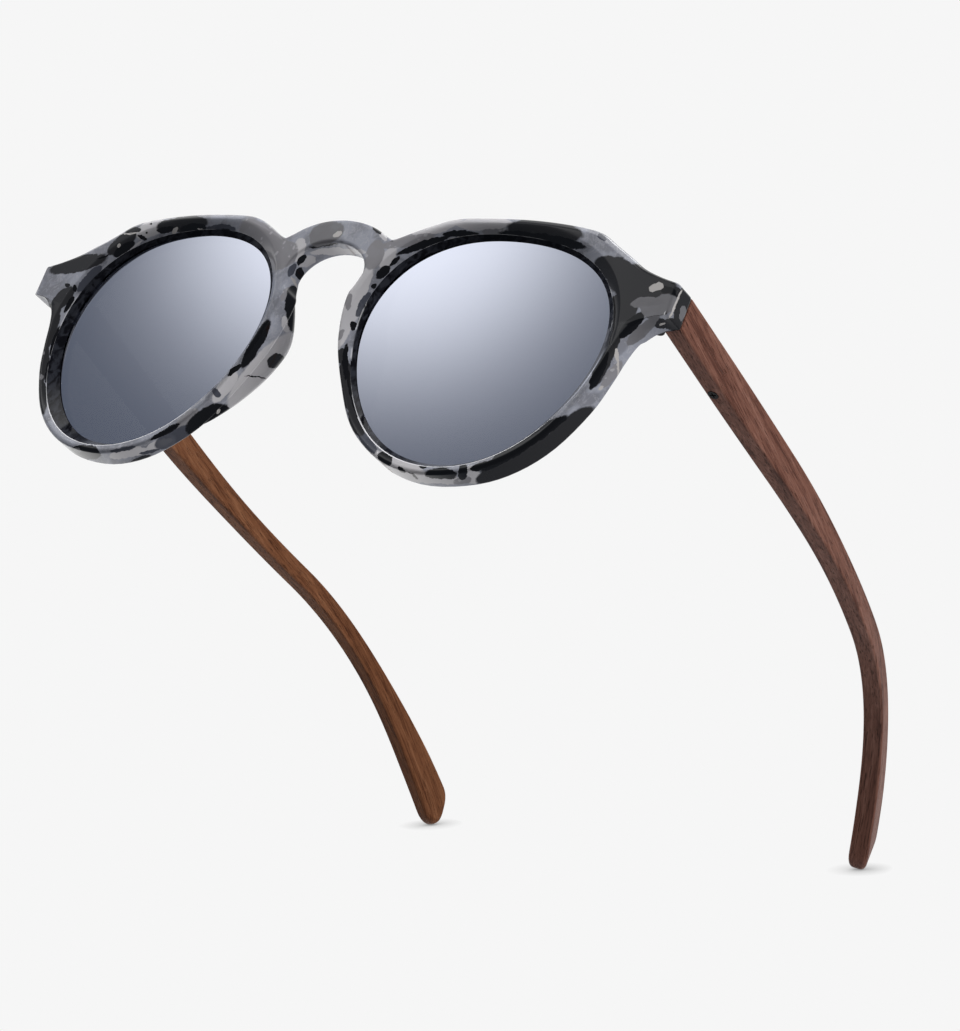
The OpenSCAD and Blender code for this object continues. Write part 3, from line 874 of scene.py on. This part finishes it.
BLACK = [(13.7, 12.3, 1.7, 1.25, 60), (15, 14.7, 1.1, 0.6, 60), (13, 9.2, 0.55, 0.55, 0),
         (12, 0.9, 1, 0.65, -60), (13.4, -6.4, 4, 0.6, -68), (18.4, -13.6, 6.5, 0.7, -53),
         (36.4, -27.1, 1.6, 0.2, -28), (13, 4.5, 3.4, 0.45, 84), (19.8, 18.4, 5.6, 0.9, 26),
         (26.5, 21.3, 3.9, 0.7, 3), (43.5, 21, 9.5, 1.3, -5), (29.4, -24.4, 2, 1.1, -30),
         (33.7, -26.2, 1.1, 0.4, -30), (37.6, -25.2, 0.8, 0.3, 0), (41.8, -26.2, 3.3, 1.2, 0),
         (45.9, -25.4, 1.9, 0.9, -60), (55.6, -18.8, 9, 1.5, 44), (49.5, -23.7, 2.6, 0.9, 25),
         (64.6, -3.6, 3.9, 1.2, 88), (67.6, 5.6, 3, 1.4, 62), (72.3, 12.5, 2, 0.9, -25),
         (-2, 17.1, 3.4, 0.3, 4), (-58.8, 16.2, 1.5, 0.25, 10), (-54, 17.9, 2.7, 1.3, 38),
         (-49.5, 23.3, 0.3, 0.3, 0), (-49.6, 21.3, 0.32, 0.32, 0), (-50.3, 20.3, 1.7, 0.4, -18),
         (-44.5, 21.9, 2.7, 0.75, 0), (-37.5, 22.1, 3.6, 0.9, 0), (-27, 20.7, 3.2, 0.5, -14),
         (-62.4, 5.6, 1.9, 0.9, 82), (-65.3, 10, 0.8, 0.5, -30), (-62.8, 9.2, 1.1, 0.5, -50),
         (-61.8, -2.5, 3.4, 0.9, -80), (-60.2, -9.2, 2.6, 0.6, -66), (-5.8, 14.2, 1.1, 0.9, 40),
         (-5, 11.4, 1.6, 0.9, -50), (-3.2, 4, 5.6, 1.7, -62), (-8.5, -3.6, 5.2, 1.6, 80),
         (-11, -9, 1.7, 0.7, 45), (-13, -19.4, 4.8, 3, 25), (-10.4, -17.2, 2, 0.8, -5),
         (-22, -22, 3.4, 0.8, 30), (-40.6, -26.6, 4.6, 1.5, -7), (-5.3, -10.5, 3, 0.15, -5)]
GREY_OVER = [(71.8, 9.9, 2.9, 2.3, 20), (68.6, 10.3, 2.9, 1.1, 12), (70.2, 8.3, 2.6, 1.1, -32),
             (70, 4.4, 3.5, 1.4, 60), (-42.9, -26.2, 1.3, 0.5, -20), (-2.5, 19.7, 4, 2.8, 0),
             (76.6, 8.6, 1.7, 0.6, -75), (-64, -5.2, 0.8, 0.5, 0), (-61.4, -10.4, 0.9, 0.6, -30)]
# pale flecks laid over the rest; among them two painted highlights: the thin stroke at x 74.5 on the end
# piece's front edge, and the one at x 23.5 along the crease at the upper nose side of the wearer's left lens
LIGHT_OVER_AND_HIGHLIGHTS = [(69.5, 13.3, 1.4, 0.85, 10), (67, -0.5, 1.5, 0.4, -60), (68.2, -3, 1.6, 0.25, -68),
              (66.4, -7, 0.45, 0.45, 0), (73.4, 6.2, 0.6, 0.3, 20), (-55.7, 18.5, 0.5, 0.5, 0),
              (-54.3, 21.4, 2.3, 0.2, 3), (-42.2, 21.6, 0.9, 0.7, 90), (-35, 21.5, 1.7, 0.25, -8),
              (-11, -17.7, 0.5, 0.5, 0), (0.4, 19.4, 0.9, 0.6, 30), (23.5, 19.1, 3.8, 0.22, 25),
              (-5.5, 9.6, 1.8, 0.2, -45), (74.5, 10.3, 3, 0.26, 86)]
# the tones in the order in which they cover each other
TONES = ((LIGHT, (0.5, 0.49, 0.51, 1)), (MIDDLE, (0.225, 0.22, 0.235, 1)), (NAVY, (0.06, 0.064, 0.082, 1)),
         (CHARCOAL, (0.024, 0.0237, 0.025, 1)), (BLACK, (0.004, 0.004, 0.0045, 1)),
         (GREY_OVER, (0.15, 0.148, 0.158, 1)), (LIGHT_OVER_AND_HIGHLIGHTS, (0.45, 0.43, 0.42, 1)))
FLAKE_EDGE = (0.93, 1.05)
# a blotch goes through the whole front
THROUGH = 1000
# the flakes run through the plastic at a slant: sideways and up for each millimetre of depth
SLANT_X, SLANT_TURN, SLANT_Z = 0.97, 1 / 450, -0.584
# how the flakes' edges wander: strength in millimetres, then the noise's scale, detail and roughness
WANDER_BROAD = (1.1, 0.3, 2.0, 0.5)
WANDER_FINE = (0.8, 1.0, 4.0, 0.6)
# the ground between the flakes, clouds and fine veins: the noise's scale, detail, roughness and distortion
CLOUD = (0.16, 3.0, 0.55, 0.4)
GROUND_EDGE = (0.42, 0.58)
GROUND_DARK, GROUND_PALE = (0.2, 0.205, 0.235, 1), (0.3, 0.312, 0.362, 1)
VEIN = (0.55, 3.0, 0.5, 0.8)
VEIN_SHARP, VEIN_SHARE, VEIN_PALE = 30, 0.35, (0.45, 0.45, 0.48, 1)
# the clouds thin the paler flakes a little, and pale specks lie in the middle tone
THIN_EDGE, THIN_SHARE = (0.5, 0.64), 0.1
SPECK_SCALE, SPECK_EDGE, SPECK_SHARE, SPECK_PALE = 0.7, (0.2, 0.3), 0.6, (0.42, 0.42, 0.44, 1)
# the walls of the lens openings get painted shade, clouded, by the mark on the mesh, and a dull surface in
# that painted shade covers part of their gloss
WALL_PAINTED_SHADE_DEEP, WALL_PAINTED_SHADE_SOFT, WALL_CLOUD = (0.004, 0.004, 0.006, 1), (0.026, 0.028, 0.036, 1), (0.4, 0.62)
WALL_EDGE, DULL_EDGE, DULL_SHARE = (0.45, 0.65), (0.5, 0.65), 0.65
# a painted highlight along the crease, pale and glowing: all along the lower rim, and here and there at the
# sides
LINE_START, LINE_END = (0.33, 0.42), (0.5, 0.58)
LINE_CLOUD, LINE_SHARE, LINE_LOW = (0.46, 0.56), 0.45, (6, 22)
CREASE_HIGHLIGHT_PALE, CREASE_HIGHLIGHT_GLOW = (0.6, 0.6, 0.62, 1), (0.2, 0.2, 0.21, 1)
# a quarter of the front has the blotches that reach into it, with this much to spare
SHARED = 6
QUARTERS = [(side, level) for side in (1, -1) for level in (1, -1)]


def blotch_reach(wire, place, blotches):
    """How far each point lies from the nearest blotch's middle, as a share of its size."""
    nearest = None
    for x, z, half_length, half_width, tilt in blotches:
        if half_length == half_width:
            apart = wire.add("ShaderNodeVectorMath", {"operation": "DISTANCE"},
                             {0: place, 1: (x, 0, z)}, out="Value")
            reach = apart / half_length
        else:
            own = wire.add("ShaderNodeMapping", {"vector_type": "TEXTURE"},
                           {"Vector": place, "Location": (x, 0, z), "Rotation": (0, -radians(tilt), 0),
                            "Scale": (half_length, THROUGH, half_width)})
            reach = wire.add("ShaderNodeVectorMath", {"operation": "LENGTH"}, {0: own}, out="Value")
        nearest = reach if nearest is None else nearest.least(reach)
    return nearest


def reaches(blotch, side, level):
    """Whether a blotch comes into a quarter of the front."""
    x, z, half_length = blotch[:3]
    return min(x * side, z * level) > -half_length - SHARED


def slanted(wire, place):
    """Where the flake at a place comes out on the face of the front."""
    x, y, z = xyz(wire, place)
    depth = y + RECESS / cos(WRAP) - x.math("ABSOLUTE") * tan(WRAP)
    return wire.add("ShaderNodeCombineXYZ", {}, {0: x + depth * (SLANT_X - x * SLANT_TURN), 1: 0,
                                                 2: z + depth * SLANT_Z})


def marble_ground(cloud, vein):
    """Grey and pale lavender clouds with fine paler veins."""
    colour = cloud.step(*GROUND_EDGE).mix(GROUND_DARK, GROUND_PALE)
    streak = (1 - (vein - 0.5).math("ABSOLUTE") * VEIN_SHARP).most(0)
    return (streak * VEIN_SHARE).mix(colour, VEIN_PALE)


def with_flakes(wire, colour, place, cloud, side, level):
    """The ground of a quarter covered with its flakes, tone by tone."""
    specks = wire.add("ShaderNodeTexVoronoi", {}, {"Vector": place, "Scale": SPECK_SCALE, "Randomness": 1.0})
    speck = (1 - specks.step(*SPECK_EDGE)) * SPECK_SHARE
    thick = 1 - cloud.step(*THIN_EDGE) * THIN_SHARE
    for blotches, tone in TONES:
        own = [blotch for blotch in blotches if reaches(blotch, side, level)]
        inside = 1 - blotch_reach(wire, place, own).step(*FLAKE_EDGE)
        dark = blotches in (CHARCOAL, BLACK)
        colour = (inside if dark else inside * thick).mix(colour, tone)
        if blotches is MIDDLE:
            colour = (inside * speck).mix(colour, SPECK_PALE)
    return colour


def marbled_plastic(side, level):
    """Polished plastic with flakes of charcoal, grey and pale lavender, for one quarter of the front, with
    painted shade on the walls of the lens openings and a painted highlight along their crease.
    """
    name = f"marble_{'left' if side > 0 else 'right'}_{'upper' if level > 0 else 'lower'}"
    material, wire = new_material(name)
    place = slanted(wire, glasses_place(wire))
    ragged = place
    for wander in (WANDER_BROAD, WANDER_FINE):
        ragged = wire.add("ShaderNodeVectorMath", {"operation": "ADD"},
                          {0: ragged, 1: wandering(wire, place, *wander)})
    cloud = noise(wire, ragged, *CLOUD)
    vein = noise(wire, ragged, *VEIN)
    colour = with_flakes(wire, marble_ground(cloud, vein), ragged, cloud, side, level)
    wall = wire.add("ShaderNodeAttribute", {"attribute_name": "wall"}, out="Fac")
    # painted shade on the walls of the lens openings
    shade = vein.step(*WALL_CLOUD).mix(WALL_PAINTED_SHADE_DEEP, WALL_PAINTED_SHADE_SOFT)
    colour = wall.step(*WALL_EDGE).mix(colour, shade)
    # a painted highlight along the crease, pale and glowing, all along the lower rim and in patches elsewhere
    edge = wall.step(*LINE_START) * (1 - wall.step(*LINE_END))
    low = wire.add("ShaderNodeSeparateXYZ", {}, {0: place}, out="Z") * -1
    line = edge * (cloud.step(*LINE_CLOUD) * LINE_SHARE).most(low.step(*LINE_LOW))
    colour = line.mix(colour, CREASE_HIGHLIGHT_PALE)
    highlight_glow = line.mix(grey(0), CREASE_HIGHLIGHT_GLOW)
    glossy = surface(wire, {"Base Color": colour, "Roughness": 0.08, "IOR": 1.5,
                            "Emission Color": highlight_glow, "Emission Strength": 1.0})
    # a dull surface in the walls' painted shade
    dull_painted_shade = surface(wire, {"Base Color": shade, "Roughness": 0.9, "Specular IOR Level": 0.05})
    share = wall.step(*DULL_EDGE) * DULL_SHARE
    end_material(wire, wire.add("ShaderNodeMixShader", {}, {0: share, 1: glossy, 2: dull_painted_shade}))
    return material


HAZE_SCALE, HAZE_EDGE = 0.05, (0.3, 0.7)
MIRROR_DEEP, MIRROR_PALE = (0.795, 0.822, 0.923, 1), (0.807, 0.834, 0.935, 1)


def mirrored_lens(name, cover):
    """A silver mirror, blue in its shadows, with a faint haze, that covers a share of what is behind it."""
    material, wire = new_material(name)
    haze = noise(wire, glasses_place(wire), HAZE_SCALE)
    colour = haze.step(*HAZE_EDGE).mix(MIRROR_DEEP, MIRROR_PALE)
    end_material(wire, surface(wire, {"Base Color": colour, "Metallic": 1.0, "Roughness": 0.03,
                                      "Alpha": cover}))
    return material


WOOD_DARK, WOOD_MID, WOOD_LIGHT = (0.095, 0.039, 0.028, 1), (0.18, 0.08, 0.057, 1), (0.25, 0.122, 0.091, 1)
WOOD_PORE = (0.03, 0.012, 0.008, 1)
AMBER = (1.0, 0.9, 0.6, 1)
GRAIN_TURN, GRAIN_WAVE = radians(7), 0.4
# layers of grain: how each is drawn out, then the noise's scale, detail and roughness
BROAD_GRAIN = ((0.8, 0.05, 1), 0.7, 3.0, 0.5)
FINE_GRAIN = ((1.6, 0.11, 2), 1.6, 5.0, 0.65)
PORES = ((3, 0.22, 4), 1.5, 2.0, 0.5)
BROAD_SHARE, FINE_SHARE = 0.45, 0.55
DARK_EDGE, LIGHT_EDGE, PORE_EDGE = (0.38, 0.5), (0.5, 0.62), (0.58, 0.64)
PORE_SHARE, PORE_ROUGH, WOOD_ROUGH = 0.65, 0.2, 0.45


def grain(wire, place, stretch, scale, detail, roughness):
    """Noise drawn out along the arm."""
    turned = wire.add("ShaderNodeMapping", {"vector_type": "POINT"},
                      {"Vector": place, "Rotation": (GRAIN_TURN, 0, 0)})
    drawn = wire.add("ShaderNodeMapping", {"vector_type": "POINT"}, {"Vector": turned, "Scale": stretch})
    return noise(wire, drawn, scale, detail, roughness, GRAIN_WAVE)


def arm_wood():
    """Walnut: streaks along the arm with short dark pores, and an amber cast on the wearer's right arm."""
    material, wire = new_material("arm_wood")
    x, y, z = xyz(wire, glasses_place(wire))
    along = (y - ARM_Y) / ARM_L
    drop = ((along - DROP_FROM) / (1 - DROP_FROM)).most(0) ** 2 * EAR_DROP
    height = z + y * tan(PITCH) + drop
    curl = ((along - CURL_FROM) / (1 - CURL_FROM)).most(0) ** 2 * EAR_CURL
    straight = wire.add("ShaderNodeCombineXYZ", {}, {0: x.math("ABSOLUTE") + curl, 1: y, 2: height})
    tone = grain(wire, straight, *BROAD_GRAIN) * BROAD_SHARE + grain(wire, straight, *FINE_GRAIN) * FINE_SHARE
    colour = tone.step(*DARK_EDGE).mix(WOOD_DARK, WOOD_MID)
    colour = tone.step(*LIGHT_EDGE).mix(colour, WOOD_LIGHT)
    pore = grain(wire, straight, *PORES).step(*PORE_EDGE)
    colour = (pore * PORE_SHARE).mix(colour, WOOD_PORE)
    colour = x.math("LESS_THAN", 0).mix(colour, AMBER, "MULTIPLY")
    bump = wire.add("ShaderNodeBump", {}, {"Strength": 0.3, "Distance": 0.0002, "Height": tone - pore})
    rough = pore * PORE_ROUGH + WOOD_ROUGH
    end_material(wire, surface(wire, {"Base Color": colour, "Roughness": rough, "Normal": bump,
                                      "Specular IOR Level": 0.12}))
    return material


# the metals of the hinges: how bright and how rough each is, and which pieces have it
METALS = {"blackened_steel": (0.05, 0.45), "nut_steel": (0.4, 0.35), "spring_steel": (0.5, 0.3),
          "screw_steel": (0.25, 0.35), "black_screw": (0.03, 0.4)}
HARDWARE = {"hinge_plate": "blackened_steel", "hinge_core": "blackened_steel",
            "hinge_housing": "blackened_steel", "core_nut": "nut_steel", "hinge_spring": "spring_steel",
            "hinge_screw": "screw_steel", "tongue_screw": "black_screw"}
BRUSH_SCALE, BRUSH_DETAIL, BRUSH_EDGE = 2.5, 3.0, (0.3, 0.7)
BRUSH_TINT, BRUSH_ROUGH = 0.15, 0.2


def metal(name, level, roughness):
    """Plated or blackened steel with a fine brushed grain."""
    material, wire = new_material(name)
    brushed = noise(wire, glasses_place(wire), BRUSH_SCALE, BRUSH_DETAIL)
    tint = brushed.step(*BRUSH_EDGE).mix(grey(level * (1 - BRUSH_TINT)), grey(level * (1 + BRUSH_TINT)))
    rough = brushed * BRUSH_ROUGH + (roughness - BRUSH_ROUGH / 2)
    end_material(wire, surface(wire, {"Base Color": tint, "Metallic": 1.0, "Roughness": rough}))
    return material


def dress_hardware():
    """Give the hinges' own solids their metals."""
    finishes = {name: metal(name, *look) for name, look in METALS.items()}
    for node, name in HARDWARE.items():
        for side_name in SIDES:
            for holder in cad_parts[f"{node}_{side_name}"].material_slots:
                holder.material = finishes[name]


# Floor, light and camera

CAMERA_AT = Vector((436.90, -451.41, -262.32))
CAMERA_RIGHT = Vector((0.79510, 0.50400, 0.33734))
CAMERA_UP = Vector((-0.05854, -0.48985, 0.86984))
CAMERA_AHEAD = CAMERA_UP.cross(CAMERA_RIGHT)
CAMERA_LENS, CAMERA_SENSOR = 132.753, 36
CAMERA_CLIP = (0.01, 20)

BACKDROP = 0.922
CONTACT_DARK = 0.2
# half a side of each floor, and how far its contact shadow reaches, in metres
FLOOR_HALF, FLOOR_SHADE = 3.0, 0.03
TIP_FLOOR_HALF, TIP_FLOOR_SHADE = 0.03, 0.005
# the photo's own floor meets the arms' tips at a low angle to the camera
PHOTO_FLOOR_TILT = radians(8)
TIP_STATIONS = 30


def floor_material(name, reach, shadow_only):
    """Pale paper with a contact shadow, or that shadow alone; even to the camera and clear from below."""
    material, wire = new_material(name)
    below = wire.add("ShaderNodeNewGeometry", out="Backfacing")
    near = wire.add("ShaderNodeAmbientOcclusion", {"samples": 16}, {"Distance": reach}, out="AO")
    dark = wire.add("ShaderNodeEmission", {}, {"Color": grey(CONTACT_DARK)})
    clear = wire.add("ShaderNodeBsdfTransparent")
    paper = clear if shadow_only else wire.add("ShaderNodeEmission", {}, {"Color": grey(BACKDROP)})
    shader = wire.add("ShaderNodeMixShader", {}, {0: near, 1: dark, 2: paper})
    end_material(wire, wire.add("ShaderNodeMixShader", {}, {0: below, 1: shader, 2: clear}))
    return material


def lay_floor(name, half, place, reach, shadow_only=False):
    """A square of floor paper, half a side long, laid by a matrix."""
    bm = bmesh.new()
    bmesh.ops.create_grid(bm, x_segments=1, y_segments=1, size=half, matrix=place)
    floor = add_mesh(name, bm)
    bm.free()
    floor.data.materials.append(floor_material(f"{name}_paper", reach, shadow_only))
    floor.visible_diffuse = False
    floor.visible_glossy = False
    floor.visible_shadow = False


def tip_foot(side_name, side, normal):
    """The lowest place of an arm's tip over a floor with this normal."""
    reach = ARM_REACH[side_name]
    places = [p for u in arm_stations(reach)[-TIP_STATIONS:] for p in arm_section(u, reach)]
    return min((SEAT @ Vector((p.x * side, p.y, p.z)) for p in places), key=normal.dot)


def make_floors():
    """The level floor, and under each arm's tip a patch of shadow on the photo's floor."""
    lay_floor("floor", FLOOR_HALF, Matrix.Identity(4), FLOOR_SHADE)
    normal = LEANT @ (CAMERA_UP * cos(PHOTO_FLOOR_TILT) - CAMERA_AHEAD * sin(PHOTO_FLOOR_TILT))
    tips = [tip_foot(side_name, side, normal) for side_name, side in SIDES.items()]
    across = (tips[0] - tips[1]).normalized()
    normal = (normal - across * normal.dot(across)).normalized()
    ahead = normal.cross(across)
    lie = Matrix((across, ahead, normal)).transposed().to_4x4()
    for side_name, tip in zip(SIDES, tips):
        lay_floor(f"photo_floor_{side_name}", TIP_FLOOR_HALF, Matrix.Translation(tip) @ lie,
                  TIP_FLOOR_SHADE, shadow_only=True)


def make_camera():
    """The photo's camera, placed with the glasses before they are set down."""
    data = bpy.data.cameras.new("photo_camera")
    data.lens, data.sensor_width = CAMERA_LENS, CAMERA_SENSOR
    data.clip_start, data.clip_end = CAMERA_CLIP
    camera = add_object("photo_camera", data)
    right, up = LEANT @ CAMERA_RIGHT, LEANT @ CAMERA_UP
    place = Matrix.Translation(SEAT @ CAMERA_AT)
    camera.matrix_world = place @ Matrix((right, up, right.cross(up))).transposed().to_4x4()
    bpy.context.scene.camera = camera


SOFTBOX_EL, SOFTBOX_AZ, SOFTBOX_TILT = radians(32.2), radians(-47.5), radians(-66.3)
SOFTBOX_HALF = (0.145, 0.256)
SOFTBOX_FADE = 0.29
SOFTBOX_BRIGHT = 1.08
STUDIO_DARK = (0.092, 0.105, 0.133, 1)
# the ceiling and the backdrop as the gloss shows them, by how straight they are overhead and ahead
CEILING, CEILING_EDGE = 1.9, (0.82, 0.97)
BACKDROP_EDGE = (0.45, 0.8)
UP = LEANT @ Vector((0, 0, 1))
# light that comes back up from the photo's floor
BOUNCE_FROM = LEANT @ Vector((0.06, 0.62, -0.78))
BOUNCE, BOUNCE_FOCUS, FILL = 2.2, 5, 0.06
# outputs of the node that tells rays apart
CAMERA_RAY, GLOSSY_RAY, THROUGH_RAY = 0, 3, 6


def softbox_glow(along):
    """The oval softbox, bright inside its outline and fading out past it."""
    middle = LEANT @ Vector((cos(SOFTBOX_EL) * sin(SOFTBOX_AZ), -cos(SOFTBOX_EL) * cos(SOFTBOX_AZ),
                             sin(SOFTBOX_EL)))
    level = middle.cross(UP).normalized()
    rise = level.cross(middle)
    wide = (level * cos(SOFTBOX_TILT) + rise * sin(SOFTBOX_TILT)) / SOFTBOX_HALF[0]
    tall = (rise * cos(SOFTBOX_TILT) - level * sin(SOFTBOX_TILT)) / SOFTBOX_HALF[1]
    ahead = along(middle)
    reach = ((along(wide) / ahead) ** 2 + (along(tall) / ahead) ** 2) ** 0.5
    glow = SOFTBOX_BRIGHT / (1 + ((reach - 1) / SOFTBOX_FADE).math("EXPONENT"))
    return glow * ahead.math("GREATER_THAN", 0)


def make_world():
    """A pale backdrop to the camera, a soft bounce as light, and a dim studio with a softbox in the gloss."""
    world = bpy.data.worlds.new("studio")
    world.use_nodes = True
    world.node_tree.nodes.clear()
    bpy.context.scene.world = world
    wire = Wire(world.node_tree)
    way = wire.add("ShaderNodeTexCoord")

    def along(axis):
        """How far each ray goes along an axis."""
        return wire.add("ShaderNodeVectorMath", {"operation": "DOT_PRODUCT"}, {0: way, 1: axis}, out="Value")

    def ray(kind):
        """1 for the rays of a kind."""
        return wire.add("ShaderNodeLightPath", out=kind)

    gloss = along(UP).step(*CEILING_EDGE).mix(STUDIO_DARK, grey(CEILING))
    gloss = along(LEANT @ CAMERA_AHEAD).step(*BACKDROP_EDGE).mix(gloss, grey(BACKDROP))
    glow = wire.add("ShaderNodeVectorMath", {"operation": "SCALE"},
                    {0: (1, 1, 1), "Scale": softbox_glow(along)})
    gloss = wire.add("ShaderNodeVectorMath", {"operation": "ADD"}, {0: gloss, 1: glow})
    bounce = along(BOUNCE_FROM).most(0) ** BOUNCE_FOCUS * BOUNCE + FILL
    colour = ray(GLOSSY_RAY).mix(bounce, gloss)
    colour = ray(CAMERA_RAY).most(ray(THROUGH_RAY)).mix(colour, grey(BACKDROP))
    shader = wire.add("ShaderNodeBackground", {}, {"Color": colour, "Strength": 1.0})
    wire.add("ShaderNodeOutputWorld", {}, {"Surface": shader})


GLASSES_MIDDLE = Vector((0, 0, 0.025))
# softboxes: place and width in metres, watts, and whether the gloss shows them
LIGHTS = {"softbox_left": ((-0.75, -0.75, 0.65), 0.5, 13, False),
          "softbox_right": ((1.1, -0.35, 0.45), 0.6, 12.6, False),
          "softbox_top": ((0.1, 0.2, 1.2), 0.8, 6, True)}


def add_light(name, place, size, watts, glossy):
    """A round softbox that looks at the middle of the glasses."""
    data = bpy.data.lights.new(name, "AREA")
    data.shape, data.size, data.energy = "DISK", size, watts
    lamp = add_object(name, data)
    lamp.location = place
    lamp.rotation_mode = "QUATERNION"
    lamp.rotation_quaternion = (GLASSES_MIDDLE - Vector(place)).to_track_quat("-Z", "Y")
    lamp.visible_glossy = glossy
    lamp.visible_camera = False


# Put together

MIRROR_COVER, BACK_COVER = 0.99, 0.06
bpy.context.scene.view_settings.view_transform = "Standard"
marble = [marbled_plastic(*quarter) for quarter in QUARTERS]
mirror = [mirrored_lens("lens_mirror", MIRROR_COVER), mirrored_lens("lens_back", BACK_COVER)]
wood = arm_wood()
make_front(marble)
for side_name, side in SIDES.items():
    make_lens(side_name, side, mirror)
    make_arm(side_name, side, wood)
    make_nose_pad(side_name, side, marble)
dress_hardware()
make_floors()
make_world()
for name, light in LIGHTS.items():
    add_light(name, *light)
make_camera()
